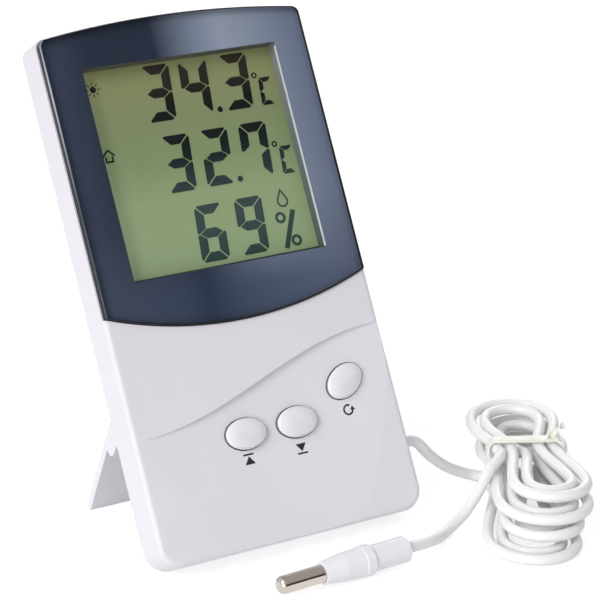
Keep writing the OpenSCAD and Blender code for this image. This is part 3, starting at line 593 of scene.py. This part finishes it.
def reading_outlines():
    """Two temperatures and the humidity, with their unit signs."""
    rows = [(92.8, [("3", -4.4), ("4", 4.0), ("3", 13.2)], 8.2, (17.6, 19.6)),
            (78.1, [("3", -3.8), ("2", 4.9), ("7", 13.8)], 8.8, (18.3, 20.4)),
            (63.15, [("6", -0.35), ("9", 8.7)], None, None)]
    out = []
    for y, digits, point_x, unit_x in rows:
        for shown, x in digits:
            out += segment_outlines(shown, x, y, DIGIT_W, DIGIT_H, DIGIT_STROKE, DIGIT_GAP)
        if unit_x:
            out += disc_outlines(point_x, y - POINT_DOWN, POINT_R)
            out += ring_outlines(unit_x[0], y + DEGREE_UP, *DEGREE_RING)
            out += segment_outlines("C", unit_x[1], y - UNIT_DOWN, UNIT_W, UNIT_H, UNIT_STROKE, UNIT_GAP)
    out += ring_outlines(15.5, 63.6, *PER_CENT_RING) + ring_outlines(17.9, 58.5, *PER_CENT_RING)
    out += bar_outlines((18.7, 64.8), (15.3, 57.2), 1.1)
    return out


def on_cell(x, y):
    return CELL_FRONT + INK_LIFT


def house_outlines(x, y, r):
    """A house with a pointed roof: the sign for indoors."""
    return (bar_outlines((x - r, y), (x, y + r), 0.3 * r) + bar_outlines((x, y + r), (x + r, y), 0.3 * r)
            + [[(x - 0.7 * r, y), (x - 0.7 * r, y - r), (x - 0.4 * r, y - r), (x - 0.4 * r, y)],
               [(x + 0.4 * r, y), (x + 0.4 * r, y - r), (x + 0.7 * r, y - r), (x + 0.7 * r, y)],
               [(x - 0.4 * r, y - r), (x + 0.4 * r, y - r), (x + 0.4 * r, y - 0.7 * r), (x - 0.4 * r, y - 0.7 * r)]])


def sun_outlines(x, y, r):
    """A disc with rays: the sign for outdoors."""
    out = disc_outlines(x, y, 0.45 * r)
    for i in range(8):
        a = math.tau * i / 8
        out += bar_outlines((x + 0.65 * r * math.cos(a), y + 0.65 * r * math.sin(a)),
                            (x + r * math.cos(a), y + r * math.sin(a)), 0.16 * r)
    return out


def drop_outlines(x, y, r, line):
    """A falling drop in an outline line wide: the sign for humidity."""
    def edge(grow):
        tip = [(x, y + 2.1 * r + grow * 1.6)]
        return tip + [(x + (r + grow) * math.cos(math.radians(a)), y + (r + grow) * math.sin(math.radians(a)))
                      for a in range(150, 391, 10)]
    a, b = edge(line / 2), edge(-line / 2)
    return [[a[i - 1], a[i], b[i], b[i - 1]] for i in range(len(a))]


ink_look = display_ink()
reading = mark("display_reading", reading_outlines(), on_cell, ink_look)
display_signs = mark("display_signs", sun_outlines(-18.2, 95.4, 1.5) + house_outlines(-18.3, 81.7, 1.3)
                     + drop_outlines(16.9, 66.9, 1.1, 0.4), on_cell, ink_look)


# Key signs, printed on the dished front: highest, lowest and clear
SIGN_R = 1.15
FRONT_TREE = BVHTree.FromObject(nodes["front_shell"], bpy.context.evaluated_depsgraph_get())


def on_front(x, y):
    """How far the front stands out of the case's face at a point, with the ink's lift."""
    above = 5
    start = stood(x, y, above)
    distance = FRONT_TREE.ray_cast(start, -Vector(FACE_OUT))[3]
    return above - distance / MM + INK_LIFT


def arrow_outlines(x, y, r, up):
    """A triangle that points at a bar."""
    d = 1 if up else -1
    return [[(x - r, y - 0.8 * r * d), (x + r, y - 0.8 * r * d), (x, y + 0.6 * r * d)],
            [(x - r, y + 0.75 * r * d), (x + r, y + 0.75 * r * d), (x + r, y + 1.05 * r * d),
             (x - r, y + 1.05 * r * d)]]


def clear_outlines(x, y, r):
    """Most of a circle, with an arrowhead at its end."""
    return (ring_outlines(x, y, r, 0.68 * r, 60, 290)
            + [[(x + 0.34 * r, y - 0.15 * r), (x + 1.34 * r, y - 0.15 * r), (x + 0.84 * r, y + 0.6 * r)]])


key_signs = mark("key_signs", arrow_outlines(-6.05, 17.2, SIGN_R, True) + arrow_outlines(5.7, 17.1, SIGN_R, False)
                 + clear_outlines(17.9, 22.4, SIGN_R), on_front, plain("key_print", colour(32, 32, 34), 0.5))


# The window's inner sides in painted shade, a painted highlight down its right edge and a painted shadow along the
# cell's lower edge
WINDOW = (-20.9, 55.7, 22.5, 99.1)
FILM_FRONT, FILM_BACK = -0.6, -0.75
LINER_T = 0.06
EDGE_T, EDGE_DEEP = 0.05, 0.65
EDGE_OUT, EDGE_BEHIND = 0.01, 0.03
EDGE_LOW, EDGE_TOP = 0.2, 0.8
SHADOW_LOW, SHADOW_W = 0.05, 0.72
CELL_LIFT = 0.01


def window_shade_liner():
    """The four inner sides, a sheet of painted shade, with the upper one in a painted shade of its own."""
    x0, y0, x1, y1 = WINDOW
    t = LINER_T
    corners = [(x0, y0), (x1, y0), (x1, y1), (x0, y1)]
    inner = [(x0 + t, y0 + t), (x1 - t, y0 + t), (x1 - t, y1 - t), (x0 + t, y1 - t)]
    points, faces = [], []
    for z in (FILM_BACK, CELL_FRONT + CELL_LIFT):
        points += [stood(x, y, z) for x, y in corners + inner]
    for i in range(4):
        j = (i + 1) % 4
        faces += [(4 + i, 4 + j, 12 + j, 12 + i), (i, j, 4 + j, 4 + i)]
    liner = mesh_piece("window_shade_liner", points, faces, "case", liner_shade_look)
    # The upper side's painted shade.
    liner.data.materials.append(plain("liner_upper_shade", colour(84, 86, 76), 0.5).data)
    for face in liner.data.polygons[4:6]:
        face.material_index = 1
    return liner


def window_highlight_strip():
    """A pale strip down the window's right side: a painted highlight of its edge."""
    x1 = WINDOW[2] - LINER_T - EDGE_OUT
    corners = [(y, z) for y in (WINDOW[1] + EDGE_LOW, WINDOW[3] - EDGE_TOP)
               for z in (FILM_FRONT - EDGE_BEHIND, FILM_BACK - EDGE_DEEP)]
    points = [stood(x, y, z) for x in (x1, x1 - EDGE_T) for y, z in corners]
    faces = [(0, 2, 3, 1), (4, 5, 7, 6), (0, 1, 5, 4), (2, 6, 7, 3), (0, 4, 6, 2), (1, 3, 7, 5)]
    # Painted highlight: a thin pale glossy strip stands for light caught on the window's right edge.
    return mesh_piece("window_highlight_strip", points, faces, "case", glossy_plastic("strip_highlight_pale", colour(226, 229, 238), 0.3))


# Painted shade: the window's inner sides in grey-green, darker towards the bottom of the cell.
liner_shade_look = plain("liner_painted_shade", colour(100, 104, 104), 0.45)
liner_shade_look.slope("lcd_cell", (0, 0, 1), (0.1, colour(84, 90, 88)), (0.5, colour(108, 113, 112)),
                 (0.9, colour(134, 138, 138)))
for piece in (window_shade_liner(), window_highlight_strip()):
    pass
# Painted shadow: a dark strip on the cell along the window's lower edge, where that edge throws shade.
shadow_strip = mark("display_lower_shadow", [[(WINDOW[0], WINDOW[1] + SHADOW_LOW), (WINDOW[2], WINDOW[1] + SHADOW_LOW),
                              (WINDOW[2], WINDOW[1] + SHADOW_W), (WINDOW[0], WINDOW[1] + SHADOW_W)]], on_cell,
            plain("lower_shadow_dark", colour(40, 56, 48), 0.6))


# Studio
def seen_white(tree):
    """1 for the rays that see the studio as white: from the camera, a mirror or a clear piece."""
    path = tree.nodes.new("ShaderNodeLightPath")
    value = path.outputs["Is Camera Ray"]
    for kind in ("Is Glossy Ray", "Is Transmission Ray"):
        either = tree.nodes.new("ShaderNodeMath")
        either.operation = "MAXIMUM"
        tree.links.new(value, either.inputs[0])
        tree.links.new(path.outputs[kind], either.inputs[1])
        value = either.outputs["Value"]
    return value


def stage_sheet(name, points, faces):
    """A surface of the studio, which isn't part of the object."""
    mesh = bpy.data.meshes.new(name)
    mesh.from_pydata(points, [], faces)
    sheet = bpy.data.objects.new(name, mesh)
    SCENE.collection.objects.link(sheet)
    return sheet


FLOOR_HALF = 6
FLOOR_GLOW = 0.76


def add_floor():
    """A pale floor that takes soft shadows and is otherwise white."""
    half = FLOOR_HALF
    floor = stage_sheet("floor", [(-half, -half, 0), (half, -half, 0), (half, half, 0), (-half, half, 0)],
                        [(0, 1, 2, 3)])
    made = Material("floor", (0.82, 0.82, 0.82, 1), 0.9).setting(Specular_IOR_Level=0.1)
    shade = made.node("ShaderNodeBsdfDiffuse")
    shade.inputs["Color"].default_value = (0.42, 0.42, 0.42, 1)
    glow = made.node("ShaderNodeEmission")
    glow.inputs["Strength"].default_value = FLOOR_GLOW
    add = made.node("ShaderNodeAddShader")
    mix = made.node("ShaderNodeMixShader")
    made.link(shade.outputs["BSDF"], add.inputs[0])
    made.link(glow.outputs["Emission"], add.inputs[1])
    made.link(seen_white(made.tree), mix.inputs["Fac"])
    made.link(made.shader.outputs["BSDF"], mix.inputs[1])
    made.link(add.outputs["Shader"], mix.inputs[2])
    made.link(mix.outputs["Shader"], made.output.inputs["Surface"])
    floor.data.materials.append(made.data)


def add_world():
    """Even cool light, behind a white background."""
    world = bpy.data.worlds.new("studio")
    world.use_nodes = True
    tree = world.node_tree
    light = tree.nodes["Background"]
    light.inputs["Color"].default_value = (0.96, 0.97, 1, 1)
    light.inputs["Strength"].default_value = 0.48
    white = tree.nodes.new("ShaderNodeBackground")
    white.inputs["Strength"].default_value = 1
    mix = tree.nodes.new("ShaderNodeMixShader")
    tree.links.new(seen_white(tree), mix.inputs["Fac"])
    tree.links.new(light.outputs["Background"], mix.inputs[1])
    tree.links.new(white.outputs["Background"], mix.inputs[2])
    tree.links.new(mix.outputs["Shader"], tree.nodes["World Output"].inputs["Surface"])
    SCENE.world = world


def add_dark_room():
    """The dark room in front of the set, for the metal tip to mirror: darkest low down, paler overhead."""
    profile = [(-1.7, 0.02), (-1.7, 0.25), (-1.7, 0.7), (-1.6, 1.2), (-1.2, 1.6), (-0.4, 1.8), (1.2, 1.8)]
    x0, x1 = -0.2, 2.2
    faces = [(2 * i, 2 * i + 1, 2 * i + 3, 2 * i + 2) for i in range(len(profile) - 1)]
    room = stage_sheet("dark_room", [(x, y, z) for y, z in profile for x in (x0, x1)], faces)
    for ray in ("camera", "diffuse", "shadow"):
        setattr(room, "visible_" + ray, False)
    made = Material("dark_room", colour(60, 50, 46), 1.0)
    glow = made.node("ShaderNodeEmission")
    height = made.node("ShaderNodeSeparateXYZ")
    made.link(made.place, height.inputs["Vector"])
    made.link(made.ramp(height.outputs["Z"], (0, colour(10, 5, 3)), (0.3, colour(28, 18, 14)),
                        (0.65, colour(96, 86, 82)), (1, colour(186, 182, 180))), glow.inputs["Color"])
    made.link(glow.outputs["Emission"], made.output.inputs["Surface"])
    room.data.materials.append(made.data)


def add_lamp(name, at, aim, size, power):
    data = bpy.data.lights.new(name, "AREA")
    data.shape = "RECTANGLE"
    data.size, data.size_y = size
    data.energy = power
    lamp = bpy.data.objects.new(name, data)
    lamp.location = at
    lamp.rotation_euler = (Vector(aim) - Vector(at)).to_track_quat("-Z", "Y").to_euler()
    SCENE.collection.objects.link(lamp)


add_floor()
add_world()
add_dark_room()
add_lamp("key_lamp", (-1.05, -0.35, 0.95), (0, 0, 0.04), (0.7, 0.7), 9.8)
add_lamp("fill_lamp", (-1.1, -0.8, 0.25), (0, 0, 0.03), (0.8, 0.4), 5)
add_lamp("back_lamp", (0.9, 1.1, 0.7), (0.02, 0, 0.03), (0.9, 0.9), 6)
SCENE.view_settings.view_transform = "Standard"

bpy.context.view_layer.update()
